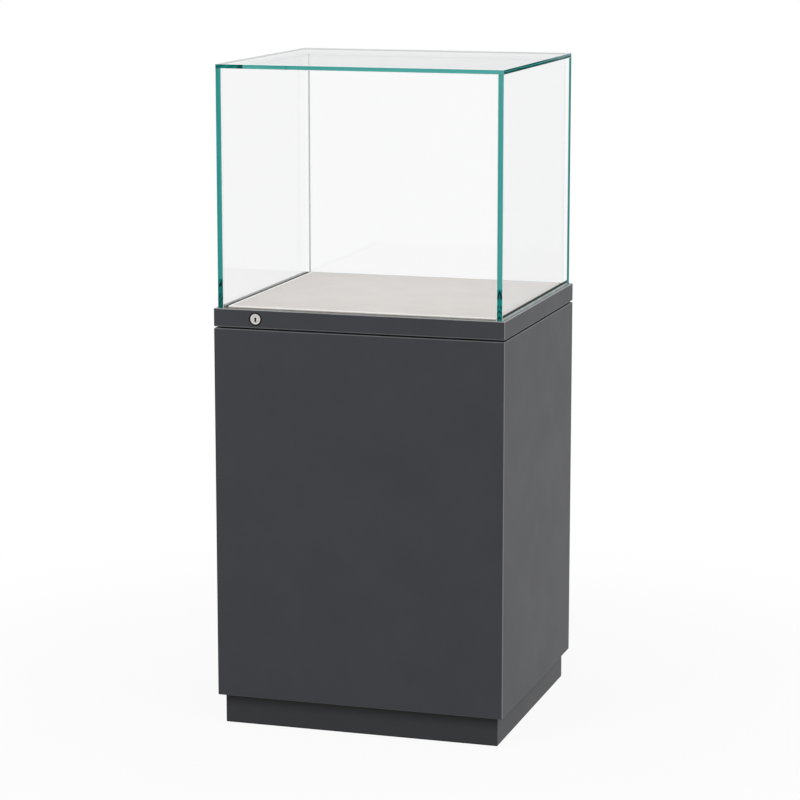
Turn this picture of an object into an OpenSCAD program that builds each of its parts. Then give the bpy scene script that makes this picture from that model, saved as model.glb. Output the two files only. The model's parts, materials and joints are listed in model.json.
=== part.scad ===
// Pedestal display case: a sheet-steel pedestal on a set-back plinth, with a lift-off glass hood.
// Millimetres, +Z up. The origin is the middle of the footprint, on the floor.
// "u" is a distance inwards from the case's outer faces, the same on all four sides.

/* [Overall] */
// Width of the pedestal and of the hood's frame
case_w = 600; // [480:1:900]
// Depth of the pedestal and of the hood's frame
case_d = 550; // [480:1:900]
// Height of the set-back plinth
plinth_h = 60; // [50:1:120]
// How far the plinth is set back from the pedestal's faces
plinth_inset = 13; // [8:1:30]
// Height of the pedestal's body above the plinth
body_h = 757; // [500:1:1000]
// Shadow gap between the body and the hood's frame
gap_h = 3; // [2:0.5:5]
// Height of the hood's frame
band_h = 37; // [34:1:60]
// Height of the glass above the hood's frame
hood_h = 483; // [300:1:700]
// Outer radius of the folded upright corners
corner_r = 2.5; // [1:0.5:5]

/* [Sheet metal] */
// Thickness of the steel sheet
sheet_t = 2; // [1.5:0.1:2.2]
// Width of the plinth's flanges, at its top and its bottom
plinth_flange_w = 10; // [8:1:12]

/* [Inner frame] */
// Width of the square steel tube of the inner frame
tube_w = 25; // [20:1:30]
// Wall of the steel tube
tube_t = 2; // [1.5:0.5:3]

/* [Rear access] */
// Width of the body's rear wall beside the access panel
stile_w = 40; // [36:1:80]
// Height of the body's rear wall above and below the access panel
header_h = 60; // [50:1:120]
// Gap round the access panel
panel_gap = 1; // [0.5:0.1:2]
// Thickness of the bars that the access panel is screwed to
bar_t = 3; // [2:0.5:5]
// How far the bars reach behind the access panel's edge
bar_lap = 15; // [12:1:25]
// How far the bars reach behind the rear wall
bar_weld = 8; // [5:1:10]
// Shank diameter of the access panel's screws
panel_screw_d = 5; // [4:0.5:6]
// Length of the access panel's screws
panel_screw_l = 10; // [8:1:16]

/* [Glass] */
// Thickness of the laminated glass of the walls
glass_t = 11.5; // [9:0.1:13]
// Thickness of the laminated glass of the top
top_glass_t = 8.8; // [6:0.1:12]
// How far the glass is set back from the frame's outer face
glass_inset = 7; // [6.5:0.5:10]
// How far the glass reaches down below the frame's rim
glass_sink = 7; // [5:0.5:9]
// Thickness of the glazing bed under the glass
glazing_t = 1; // [0.5:0.5:2]
// Gap between the frame's rim and the glass
glazing_gap = 0.5; // [0.3:0.1:0.8]

/* [Hood frame] */
// Width of the flange at the foot of the frame's outer wall
return_w = 10; // [8:0.5:10.5]
// Length of the pads that the hood stands on
pad_l = 20; // [10:1:40]
// Distance of the pads from the middle of each side
pad_off = 190; // [60:1:195]
// Width of the dust seal under the frame's inner wall
seal_w = 3.4; // [3:0.1:3.5]

/* [Locating pins] */
// Diameter of the locating pins
pin_d = 6; // [4:0.5:6.5]
// Height of the locating pins' straight part above the body
pin_h = 17; // [14:1:20]
// Height of the locating pins' tapered tip
pin_tip_h = 4; // [2:1:5]
// Distance of each pin from the middle of the rear rail
pin_off = 150; // [60:1:165]
// Running clearance between a pin and its guide
pin_clear = 0.08; // [0.05:0.01:0.1]
// Length of each pin's guide along the rail
guide_l = 24; // [16:1:40]
// Height of each pin's guide
guide_h = 16; // [10:1:18]

/* [Deck] */
// Thickness of the deck board
deck_t = 12; // [9:1:18]
// How far the deck's top stands above the frame's rim
deck_rise = 3; // [0:0.5:10]
// Gap between the hood's frame and the deck
deck_gap = 1.5; // [1:0.1:4]
// Radius of the deck's corners
deck_r = 2; // [1:0.5:6]
// How far the deck overhangs its riser
riser_inset = 20; // [10:1:60]
// Width of the riser's tube
riser_w = 25; // [15:1:40]
// Wall of the riser's tube
riser_t = 2; // [1.5:0.5:3]
// Size of the cleats that locate the deck
cleat_w = 30; // [20:1:50]
// Height of the cleats
cleat_h = 12; // [6:1:16]
// Gap between a cleat and the riser
cleat_gap = 1; // [0.5:0.5:2]

/* [Lock] */
// Distance of the lock from the case's left face
lock_in = 88; // [70:1:150]
// Diameter of the dark collar round the lock
collar_d = 26.5; // [24:0.5:28]
// Diameter of the lock's bright face
face_d = 21.3; // [19:0.1:22]
// Diameter of the lock's barrel
barrel_d = 16; // [14:0.5:18]
// Diameter of the turning plug
plug_d = 12; // [10:0.5:13]
// Clearance between the plug and the barrel
plug_clear = 0.05; // [0.03:0.01:0.1]
// How far the lock's face lies below the frame's face
lock_sink = 0.2; // [0:0.1:0.5]
// Thickness of the plate that holds the lock
lock_plate_t = 1.5; // [1:0.1:1.5]
// Length of the plate that holds the lock
lock_plate_l = 44; // [34:1:60]
// Thickness of the clip behind the plate
clip_t = 1.5; // [1:0.1:2]
// Width of the clip
clip_w = 24; // [21:0.5:28]
// Width of the keyhole's slot
key_slot_w = 1.7; // [1:0.1:2.5]
// Depth of the keyhole
key_depth = 5; // [3:0.5:5.5]

/* [Hook cam and keeper] */
// Thickness of the hook cam
cam_t = 2; // [1.5:0.1:2.5]
// Width of the hook cam
cam_w = 12; // [9:0.5:13]
// How far the cam's toe reaches under the keeper
toe_l = 8; // [4:0.5:8]
// Height of the cam's toe
toe_h = 4.3; // [3:0.1:6]
// Side of the plug's square end
square_w = 7; // [5:0.1:7.5]
// Height of the cam screw's head
cam_head_h = 1.2; // [1:0.1:1.6]
// Diameter of the cam screw's head
cam_head_d = 8; // [6:0.5:9]
// Diameter of the cam screw's shank
cam_screw_d = 4; // [3:0.5:4]
// Length of the cam screw's shank
cam_screw_l = 8; // [6:0.5:8]
// Thickness of the keeper plate
keeper_t = 2; // [1.5:0.1:3]
// Width of the slots that the cam drops through
slot_w = 4.4; // [4.2:0.1:5]
// Clearance between the locked cam and the keeper
hook_clear = 0.7; // [0.4:0.1:1.5]
// Length of the keeper plate beyond each end of its slot
keeper_end = 22; // [14:1:24]
// Shank diameter of the keeper's screws
keeper_screw_d = 4; // [3:0.5:5]

/* [Levelling feet] */
// Diameter of a foot's pad
foot_d = 40; // [30:1:60]
// Height of a foot's pad
foot_h = 8; // [6:1:12]
// Diameter of a foot's spindle
spindle_d = 10; // [8:1:12]
// Clearance between a spindle and its nut
spindle_clear = 0.08; // [0.05:0.01:0.1]
// Diameter of the round nut welded under the floor plate
foot_nut_d = 28; // [20:1:30]
// Height of the round nut
foot_nut_h = 24; // [18:1:30]
// Gap between a foot's pad and the plinth's flange
foot_gap = 2; // [1:0.5:10]
// Width across the flats of a spindle's hexagon
hex_af = 14; // [13:1:19]
// Height of a spindle's hexagon
hex_h = 6; // [4:1:8]

/* [Hidden] */
$fn = 64;

// Overshoot of a cut beyond the face that it cuts
eps = 0.5;
// Clearance of a fixed screw or pin in its hole
hole_clear = 0.1;
// Root gap of a butt weld
weld_gap = 0.2;
// Clearance between parts that only pass each other
free_clear = 0.3;

// Heights
body_top = plinth_h + body_h;
band_z = body_top + gap_h;
rim_z = band_z + band_h;
glass_z = rim_z - glass_sink;
seat_z = glass_z - glazing_t;
seat_under = seat_z - sheet_t;
case_h = rim_z + hood_h;
top_glass_z = case_h - top_glass_t;
deck_top = rim_z + deck_rise;
deck_z = deck_top - deck_t;
plate_under = body_top - sheet_t;
floor_top = plinth_h + sheet_t;

// Distances inwards from the outer faces
lip_u = glass_inset - glazing_gap;
glass_in_u = glass_inset + glass_t;
rail_in_u = glass_in_u;
rail_u = rail_in_u + sheet_t;
deck_u = rail_u + deck_gap;
riser_u = deck_u + riser_inset;
pin_u = (return_w + rail_in_u) / 2;
seal_u = rail_u - sheet_t / 2 - seal_w / 2;
frame_u = sheet_t;
frame_in_u = frame_u + tube_w;
mitre_u = max(rail_u, plinth_inset + plinth_flange_w) + eps;
pad_edge = 1;

// Lock: the cam turns just inside the rail's inner wall
lock_x = lock_in - case_w / 2;
lock_z = min(band_z + band_h / 2, seat_under - barrel_d / 2 - free_clear);
cam_u = rail_in_u - free_clear - cam_head_h - cam_t;
barrel_end_u = cam_u - free_clear;
lock_face_u = lock_sink;
plug_face_u = lock_face_u + 0.3;
clip_z = seat_under - free_clear;

// Hook cam, as it stands locked: its toe lies under the keeper plate
keeper_z = plate_under - keeper_t;
toe_top = lock_z - keeper_z + hook_clear;
cam_reach = toe_top + toe_h;
cam_swing = norm([cam_reach, cam_w / 2 + toe_l]);
slot_u = seal_u - free_clear - slot_w;
slot_left = -cam_w / 2 - hook_clear;
slot_right = sqrt(pow(cam_swing, 2) - pow(lock_z - body_top, 2)) + 2 * hook_clear;
keeper_w = slot_w + 14;

// Feet
foot_u = plinth_inset + plinth_flange_w + foot_gap + foot_d / 2;
foot_socket = foot_h / 2;
spindle_top = plinth_h - 2 * sheet_t;

// Rear access opening
access_w = case_w - 2 * stile_w;
access_z0 = plinth_h + header_h;
access_z1 = body_top - header_h;
screw_head_d = 1.9 * panel_screw_d;
screw_z = [access_z0 + 6 * bar_lap, (access_z0 + access_z1) / 2, access_z1 - 6 * bar_lap];

anthracite = [0.17, 0.17, 0.185];
dark_steel = [0.12, 0.12, 0.13];
bare_steel = [0.60, 0.61, 0.62];
nickel = [0.80, 0.79, 0.76];
black = [0.05, 0.05, 0.05];
glass_green = [0.55, 0.85, 0.80, 0.35];
deck_grey = [0.84, 0.83, 0.81];
clear_bed = [0.75, 0.78, 0.78];

// ---- Shapes that repeat ----

// Plan of the case at distance u from its outer faces, with corners of radius r
module plan(u, r = 0) {
    w = case_w - 2 * u;
    d = case_d - 2 * u;
    if (r > 0) {
        square([w - 2 * r, d], center = true);
        square([w, d - 2 * r], center = true);
        for (x = [-1, 1], y = [-1, 1])
            translate([x * (w / 2 - r), y * (d / 2 - r)]) circle(r);
    } else {
        square([w, d], center = true);
    }
}

// Upright ring between the distances u0 and u1, from z0 to z1
module ring(u0, u1, z0, z1, r = 0) {
    difference() {
        translate([0, 0, z0]) linear_extrude(z1 - z0) plan(u0, r);
        translate([0, 0, z0 - eps]) linear_extrude(z1 - z0 + 2 * eps) plan(u1);
    }
}

// The part of its child that belongs to one side of the case, cut at 45 degrees
module side_of(side, z0, z1) {
    across = side == "front" || side == "back";
    half = across ? case_w / 2 : case_d / 2;
    reach = across ? case_d / 2 : case_w / 2;
    turn = side == "front" ? 0 : side == "right" ? 90 : side == "back" ? 180 : 270;
    intersection() {
        children();
        rotate([0, 0, turn]) translate([0, 0, z0 - eps]) linear_extrude(z1 - z0 + 2 * eps)
            polygon([[-half - eps, -reach - eps], [half + eps, -reach - eps],
                     [half - mitre_u, -reach + mitre_u], [-half + mitre_u, -reach + mitre_u]]);
    }
}

// Block from corner a to corner b
module block(a, b) {
    translate(a) cube(b - a);
}

// Square tube from corner a to corner b, hollow along the given axis
module tube(a, b, wall, axis) {
    inset = [for (i = [0 : 2]) i == axis ? -eps : wall];
    difference() {
        block(a, b);
        block(a + inset, b - inset);
    }
}

// Rod along +Y, from distance u0 to distance u1 behind the front face, on the lock's axis
module lock_rod(d, u0, u1) {
    translate([lock_x, u0 - case_d / 2, lock_z]) rotate([-90, 0, 0]) cylinder(d = d, h = u1 - u0);
}

// Countersunk screw whose head is flush with z = 0 and whose shank points down
module countersunk(d, head_d, length, grow = 0) {
    head_h = (head_d - d) / 2;
    translate([0, 0, -head_h]) cylinder(h = head_h, d1 = d + grow, d2 = head_d + grow);
    translate([0, 0, -length]) cylinder(h = length, d = d + grow);
}

// ---- Plinth ----

module plinth(side) {
    color(dark_steel) side_of(side, 0, plinth_h) {
        ring(plinth_inset, plinth_inset + sheet_t, 0, plinth_h, corner_r);
        ring(plinth_inset, plinth_inset + plinth_flange_w, 0, sheet_t, corner_r);
        ring(plinth_inset, plinth_inset + plinth_flange_w, plinth_h - sheet_t, plinth_h, corner_r);
    }
}

module floor_plate() {
    color(dark_steel) translate([0, 0, plinth_h]) linear_extrude(sheet_t) plan(sheet_t);
}

// ---- Levelling feet ----

function foot_at(side) = [side[0] * (case_w / 2 - foot_u), side[1] * (case_d / 2 - foot_u), 0];

module foot_nuts() {
    color(bare_steel)
    for (x = [-1, 1], y = [-1, 1])
        translate(foot_at([x, y]) + [0, 0, plinth_h - foot_nut_h])
            difference() {
                cylinder(d = foot_nut_d, h = foot_nut_h);
                translate([0, 0, -eps])
                    cylinder(r = spindle_d / 2 + spindle_clear, h = foot_nut_h + 2 * eps);
            }
}

module foot_pad(side) {
    rim_h = foot_h / 3;
    color(black) translate(foot_at(side)) rotate_extrude()
        polygon([[0, 0], [foot_d / 2, 0], [foot_d / 2, rim_h], [foot_d / 4 + spindle_d / 4, foot_h],
                 [spindle_d / 2 + hole_clear, foot_h], [spindle_d / 2 + hole_clear, foot_socket],
                 [0, foot_socket]]);
}

module foot_spindle(side) {
    color(bare_steel) translate(foot_at(side)) {
        translate([0, 0, foot_socket]) cylinder(d = spindle_d, h = spindle_top - foot_socket);
        translate([0, 0, foot_h]) cylinder(d = hex_af / cos(30), h = hex_h, $fn = 6);
    }
}

// ---- Inner frame ----

module corner_posts() {
    for (x = [-1, 1], y = [-1, 1])
        color(dark_steel)
        translate([x * (case_w / 2 - frame_u - tube_w / 2), y * (case_d / 2 - frame_u - tube_w / 2), 0])
            tube([-tube_w / 2, -tube_w / 2, floor_top], [tube_w / 2, tube_w / 2, plate_under], tube_t, 2);
}

// Rail across the case, its front face at y0, between the posts or the side rails
module cross_rail(y0, z0) {
    reach = case_w / 2 - frame_in_u - weld_gap;
    tube([-reach, y0, z0], [reach, y0 + tube_w, z0 + tube_w], tube_t, 0);
}

// Rail along one side of the case, between the posts
module side_rail(x, z0) {
    reach = case_d / 2 - frame_in_u - weld_gap;
    middle = x * (case_w / 2 - frame_u - tube_w / 2);
    tube([middle - tube_w / 2, -reach, z0], [middle + tube_w / 2, reach, z0 + tube_w], tube_t, 1);
}

module bottom_rails() {
    color(dark_steel) {
        for (x = [-1, 1]) side_rail(x, floor_top);
        cross_rail(frame_u - case_d / 2, floor_top);
        cross_rail(case_d / 2 - frame_in_u, floor_top);
    }
}

// The front rail is set back behind the posts, to leave the hook cam room to swing
module top_rails() {
    z0 = plate_under - tube_w;
    color(dark_steel) {
        for (x = [-1, 1]) side_rail(x, z0);
        cross_rail(frame_in_u - case_d / 2, z0);
        cross_rail(case_d / 2 - frame_in_u, z0);
    }
}

// ---- Pedestal body ----

module body_wall(side) {
    color(anthracite) side_of(side, plinth_h, body_top)
        ring(0, sheet_t, plinth_h, body_top, corner_r);
}

module body_rear() {
    color(anthracite) difference() {
        side_of("back", plinth_h, body_top) ring(0, sheet_t, plinth_h, body_top, corner_r);
        block([-access_w / 2, case_d / 2 - sheet_t - eps, access_z0],
              [access_w / 2, case_d / 2 + eps, access_z1]);
    }
}

// The access panel's screws, in a row down each edge, their heads flush with the panel
module at_panel_screws() {
    for (x = [-1, 1], z = screw_z)
        translate([x * (access_w / 2 - panel_gap - bar_lap / 2), case_d / 2, z])
            rotate([-90, 0, 0]) children();
}

module access_bars() {
    y1 = case_d / 2 - sheet_t;
    y0 = y1 - bar_t;
    out_x = access_w / 2 + bar_weld;
    in_x = access_w / 2 - panel_gap - bar_lap;
    color(dark_steel) difference() {
        union() {
            for (x = [-1, 1])
                block([min(x * in_x, x * out_x), y0, access_z0 - bar_weld],
                      [max(x * in_x, x * out_x), y1, access_z1 + bar_weld]);
            block([weld_gap - in_x, y0, access_z1 - panel_gap - bar_lap],
                  [in_x - weld_gap, y1, access_z1 + bar_weld]);
            block([weld_gap - in_x, y0, access_z0 - bar_weld],
                  [in_x - weld_gap, y1, access_z0 + panel_gap + bar_lap]);
        }
        at_panel_screws() countersunk(panel_screw_d, screw_head_d, panel_screw_l + eps, 2 * hole_clear);
    }
}

module access_panel() {
    color(anthracite) difference() {
        block([-access_w / 2 + panel_gap, case_d / 2 - sheet_t, access_z0 + panel_gap],
              [access_w / 2 - panel_gap, case_d / 2, access_z1 - panel_gap]);
        at_panel_screws() countersunk(panel_screw_d, screw_head_d, panel_screw_l, 2 * hole_clear);
    }
}

module access_screws() {
    color(bare_steel) at_panel_screws() countersunk(panel_screw_d, screw_head_d, panel_screw_l);
}

// ---- Top of the pedestal ----

// Slot that the hook cam drops through, measured from the lock's axis and widened by grow
module cam_slot(z0, z1, grow) {
    block([lock_x + slot_left - grow, slot_u - case_d / 2, z0],
          [lock_x + slot_right + grow, slot_u + slot_w - case_d / 2, z1]);
}

module at_keeper_screws() {
    for (x = [slot_left - keeper_end / 2, slot_right + keeper_end / 2])
        translate([lock_x + x, slot_u + slot_w / 2 - case_d / 2, body_top]) children();
}

module at_pins() {
    for (x = [-pin_off, pin_off])
        translate([x, case_d / 2 - pin_u, 0]) children();
}

module top_plate() {
    color(dark_steel) difference() {
        translate([0, 0, plate_under]) linear_extrude(sheet_t) plan(sheet_t);
        cam_slot(plate_under - eps, body_top + eps, hook_clear);
        at_keeper_screws() countersunk(keeper_screw_d, 2 * keeper_screw_d, 2 * sheet_t, 2 * hole_clear);
        at_pins() translate([0, 0, plate_under - eps])
            cylinder(r = pin_d / 2 + hole_clear, h = sheet_t + 2 * eps);
    }
}

module keeper_plate() {
    middle = slot_u + slot_w / 2 - case_d / 2;
    color(bare_steel) difference() {
        block([lock_x + slot_left - keeper_end, middle - keeper_w / 2, keeper_z],
              [lock_x + slot_right + keeper_end, middle + keeper_w / 2, plate_under]);
        cam_slot(keeper_z - eps, plate_under + eps, 0);
        at_keeper_screws() translate([0, 0, keeper_z - body_top - eps])
            cylinder(r = keeper_screw_d / 2 + hole_clear, h = keeper_t + 2 * eps);
    }
}

module keeper_screws() {
    color(bare_steel) at_keeper_screws()
        countersunk(keeper_screw_d, 2 * keeper_screw_d, sheet_t + keeper_t + keeper_screw_d);
}

// Pads under the frame's outer flange, two on each side of the case
module hood_pads() {
    u0 = sheet_t + pad_edge;
    u1 = return_w - pad_edge;
    color(black)
    for (s = [-1, 1], t = [-1, 1]) {
        y = s * (case_d - u0 - u1) / 2;
        x = s * (case_w - u0 - u1) / 2;
        translate([t * pad_off, y, body_top + gap_h / 2]) cube([pad_l, u1 - u0, gap_h], center = true);
        translate([x, t * pad_off, body_top + gap_h / 2]) cube([u1 - u0, pad_l, gap_h], center = true);
    }
}

module dust_seal() {
    color(black) ring(seal_u, seal_u + seal_w, body_top, band_z);
}

module locating_pins() {
    color(bare_steel) at_pins() {
        translate([0, 0, plate_under]) cylinder(d = pin_d, h = sheet_t + pin_h);
        translate([0, 0, body_top + pin_h]) cylinder(d1 = pin_d, d2 = pin_d / 2, h = pin_tip_h);
    }
}

module deck_riser() {
    x1 = case_w / 2 - riser_u;
    y1 = case_d / 2 - riser_u;
    side_y = y1 - riser_w - weld_gap;
    color(dark_steel) {
        for (s = [-1, 1]) {
            y = s * (y1 - riser_w / 2);
            x = s * (x1 - riser_w / 2);
            tube([-x1, y - riser_w / 2, body_top], [x1, y + riser_w / 2, deck_z], riser_t, 0);
            tube([x - riser_w / 2, -side_y, body_top], [x + riser_w / 2, side_y, deck_z], riser_t, 1);
        }
    }
}

// ---- Deck ----

module deck_board() {
    color(deck_grey) translate([0, 0, deck_z]) linear_extrude(deck_t) plan(deck_u, deck_r);
}

// Blocks under the deck, one in each inner corner of the riser
module deck_cleats() {
    u = riser_u + riser_w + cleat_gap + cleat_w / 2;
    color(black)
    for (x = [-1, 1], y = [-1, 1])
        translate([x * (case_w / 2 - u), y * (case_d / 2 - u), deck_z - cleat_h / 2])
            cube([cleat_w, cleat_w, cleat_h], center = true);
}

// ---- Glass hood ----

// Folded frame of the hood: outer wall, rim, rebate for the glass, inner wall and foot flange
module hood_frame() {
    ring(0, sheet_t, band_z, rim_z, corner_r);
    ring(0, lip_u, rim_z - sheet_t, rim_z, corner_r);
    ring(lip_u - sheet_t, lip_u, seat_under, rim_z);
    ring(lip_u - sheet_t, rail_u, seat_under, seat_z);
    ring(rail_in_u, rail_u, band_z, seat_z);
    ring(0, return_w, band_z, band_z + sheet_t, corner_r);
}

module hood_rail(side) {
    color(anthracite) difference() {
        side_of(side, band_z, rim_z) hood_frame();
        if (side == "front") lock_rod(collar_d + 2 * hole_clear, -eps, sheet_t + hole_clear);
    }
}

module glazing_bed() {
    color(clear_bed)
    for (side = ["front", "back", "left", "right"])
        side_of(side, seat_z, glass_z) ring(glass_inset, glass_in_u, seat_z, glass_z);
}

// Front or back pane, which fits between the side panes
module pane_across(s) {
    y = s * (case_d / 2 - glass_inset - glass_t / 2);
    x = case_w / 2 - glass_in_u;
    color(glass_green) block([-x, y - glass_t / 2, glass_z], [x, y + glass_t / 2, top_glass_z]);
}

// Side pane, whose front and rear edges are bare
module pane_side(s) {
    x = s * (case_w / 2 - glass_inset - glass_t / 2);
    y = case_d / 2 - glass_inset;
    color(glass_green) block([x - glass_t / 2, -y, glass_z], [x + glass_t / 2, y, top_glass_z]);
}

module pane_top() {
    color(glass_green) translate([0, 0, top_glass_z]) linear_extrude(top_glass_t) plan(glass_inset);
}

module pin_guides() {
    z0 = band_z + sheet_t;
    color(black) at_pins() difference() {
        block([-guide_l / 2, pin_u - rail_in_u, z0], [guide_l / 2, pin_u - sheet_t, z0 + guide_h]);
        translate([0, 0, z0 - eps]) cylinder(r = pin_d / 2 + pin_clear, h = guide_h + 2 * eps);
    }
}

// ---- Lock ----

module lock_plate() {
    color(dark_steel) difference() {
        block([lock_x - lock_plate_l / 2, sheet_t - case_d / 2, band_z + sheet_t],
              [lock_x + lock_plate_l / 2, sheet_t + lock_plate_t - case_d / 2, rim_z - sheet_t]);
        lock_rod(barrel_d + 2 * hole_clear, sheet_t - eps, sheet_t + lock_plate_t + eps);
    }
}

module lock_collar() {
    color(black) difference() {
        lock_rod(collar_d, lock_face_u, sheet_t);
        lock_rod(face_d + 2 * hole_clear, lock_face_u - eps, sheet_t + eps);
    }
}

module lock_barrel() {
    color(nickel) difference() {
        union() {
            lock_rod(face_d, lock_face_u, sheet_t);
            lock_rod(barrel_d, lock_face_u, barrel_end_u);
        }
        lock_rod(plug_d + 2 * plug_clear, lock_face_u - eps, barrel_end_u + eps);
    }
}

// Horseshoe clip behind the plate, open at the top
module lock_clip() {
    u0 = sheet_t + lock_plate_t;
    color(bare_steel) difference() {
        block([lock_x - clip_w / 2, u0 - case_d / 2, lock_z - clip_w / 2],
              [lock_x + clip_w / 2, u0 + clip_t - case_d / 2, clip_z]);
        lock_rod(barrel_d + 2 * hole_clear, u0 - eps, u0 + clip_t + eps);
        block([lock_x - barrel_d / 2 - hole_clear, u0 - eps - case_d / 2, lock_z],
              [lock_x + barrel_d / 2 + hole_clear, u0 + clip_t + eps - case_d / 2, clip_z + eps]);
    }
}

module lock_plug() {
    color(nickel) difference() {
        union() {
            lock_rod(plug_d, plug_face_u, cam_u);
            translate([lock_x, cam_u + cam_t / 2 - case_d / 2, lock_z])
                cube([square_w, cam_t, square_w], center = true);
        }
        translate([lock_x, plug_face_u - case_d / 2, lock_z]) {
            translate([0, 0, plug_d / 8]) rotate([-90, 0, 0])
                translate([0, 0, -eps]) cylinder(d = 2 * key_slot_w, h = key_depth + eps);
            translate([0, key_depth / 2 - eps / 2, -plug_d / 16])
                cube([key_slot_w, key_depth + eps, plug_d / 2], center = true);
        }
        lock_rod(cam_screw_d + 2 * hole_clear, cam_u + cam_t - cam_screw_l, cam_u + cam_t + eps);
    }
}

// Hook cam, turned away as it stands unlocked, its toe pointing down
module lock_cam() {
    color(bare_steel) translate([lock_x, cam_u - case_d / 2, lock_z]) difference() {
        union() {
            rotate([-90, 0, 0]) cylinder(d = cam_w, h = cam_t);
            translate([0, 0, -cam_w / 2]) cube([cam_reach, cam_t, cam_w]);
            translate([toe_top, 0, -cam_w / 2 - toe_l]) cube([toe_h, cam_t, toe_l + eps]);
        }
        translate([0, cam_t / 2, 0])
            cube([square_w + hole_clear, cam_t + eps, square_w + hole_clear], center = true);
    }
}

module cam_screw() {
    u = cam_u + cam_t;
    color(bare_steel) {
        lock_rod(cam_screw_d, u - cam_screw_l, u + cam_head_h / 2);
        lock_rod(cam_head_d, u, u + cam_head_h);
    }
}

// ---- The assembly ----

plinth("front");  // plinth_front
plinth("back");  // plinth_back
plinth("left");  // plinth_left
plinth("right");  // plinth_right
floor_plate();
foot_nuts();
corner_posts();
bottom_rails();
top_rails();
body_wall("front");  // body_front
body_wall("left");  // body_left
body_wall("right");  // body_right
body_rear();
access_bars();
access_panel();
access_screws();
top_plate();
keeper_plate();
keeper_screws();
hood_pads();
dust_seal();
locating_pins();
deck_riser();
foot_pad([-1, -1]);  // foot_pad_front_left
foot_spindle([-1, -1]);  // foot_spindle_front_left
foot_pad([1, -1]);  // foot_pad_front_right
foot_spindle([1, -1]);  // foot_spindle_front_right
foot_pad([-1, 1]);  // foot_pad_back_left
foot_spindle([-1, 1]);  // foot_spindle_back_left
foot_pad([1, 1]);  // foot_pad_back_right
foot_spindle([1, 1]);  // foot_spindle_back_right
deck_board();
deck_cleats();
hood_rail("front");  // hood_rail_front
hood_rail("back");  // hood_rail_back
hood_rail("left");  // hood_rail_left
hood_rail("right");  // hood_rail_right
glazing_bed();
pane_across(-1);  // pane_front
pane_across(1);  // pane_back
pane_side(-1);  // pane_left
pane_side(1);  // pane_right
pane_top();
pin_guides();
lock_plate();
lock_collar();
lock_barrel();
lock_clip();
lock_plug();
lock_cam();
cam_screw();
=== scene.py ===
import json
import math

import bmesh
import bpy
from mathutils import Matrix, Vector


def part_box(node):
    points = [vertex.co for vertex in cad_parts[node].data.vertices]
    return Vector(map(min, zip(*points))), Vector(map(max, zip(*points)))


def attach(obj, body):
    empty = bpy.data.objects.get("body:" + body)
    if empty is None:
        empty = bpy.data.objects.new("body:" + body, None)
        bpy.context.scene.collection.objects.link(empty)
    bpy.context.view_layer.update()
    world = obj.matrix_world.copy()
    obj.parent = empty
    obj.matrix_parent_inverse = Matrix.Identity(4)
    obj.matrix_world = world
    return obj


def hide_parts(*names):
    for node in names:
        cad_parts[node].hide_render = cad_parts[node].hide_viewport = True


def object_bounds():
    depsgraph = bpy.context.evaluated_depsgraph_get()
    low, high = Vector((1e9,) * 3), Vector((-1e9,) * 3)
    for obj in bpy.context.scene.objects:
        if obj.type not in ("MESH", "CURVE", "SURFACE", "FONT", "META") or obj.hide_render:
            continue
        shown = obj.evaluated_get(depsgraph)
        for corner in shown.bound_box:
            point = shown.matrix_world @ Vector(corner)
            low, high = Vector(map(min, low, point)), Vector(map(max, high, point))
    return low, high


# A pedestal display case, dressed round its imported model. Metres, +Z up.
# "u" is a distance inwards from the case's outer faces, the same on all four sides.

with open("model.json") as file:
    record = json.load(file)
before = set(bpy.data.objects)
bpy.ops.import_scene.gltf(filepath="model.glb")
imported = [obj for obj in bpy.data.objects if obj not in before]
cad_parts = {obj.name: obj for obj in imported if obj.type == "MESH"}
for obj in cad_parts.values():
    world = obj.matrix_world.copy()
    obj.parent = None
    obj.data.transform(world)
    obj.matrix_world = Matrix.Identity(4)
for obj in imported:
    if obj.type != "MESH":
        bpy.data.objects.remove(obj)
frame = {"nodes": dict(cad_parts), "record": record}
CAD_LO, CAD_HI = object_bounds()
MM = 0.001


# ---- Sizes and places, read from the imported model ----

def span(*nodes):
    """Lowest and highest corner of several nodes together."""
    lows, highs = zip(*[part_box(node) for node in nodes])
    return Vector(map(min, zip(*lows))), Vector(map(max, zip(*highs)))


PLINTH_NODES = ("plinth_front", "plinth_back", "plinth_left", "plinth_right")
RAIL_NODES = ("hood_rail_front", "hood_rail_back", "hood_rail_left", "hood_rail_right")
PANE_NODES = ("pane_front", "pane_back", "pane_left", "pane_right", "pane_top")

BODY_LO, BODY_HI = span("body_front", "body_left", "body_right", "body_rear")
PLINTH_HI = span(*PLINTH_NODES)[1]
BAND_LO, BAND_HI = span(*RAIL_NODES)
GLASS_LO, GLASS_HI = span(*PANE_NODES)
DECK_LO, DECK_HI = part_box("deck_board")
COLLAR_LO, COLLAR_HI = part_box("lock_collar")
BARREL_LO, BARREL_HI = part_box("lock_barrel")
PLUG_LO, PLUG_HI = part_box("lock_plug")

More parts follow.
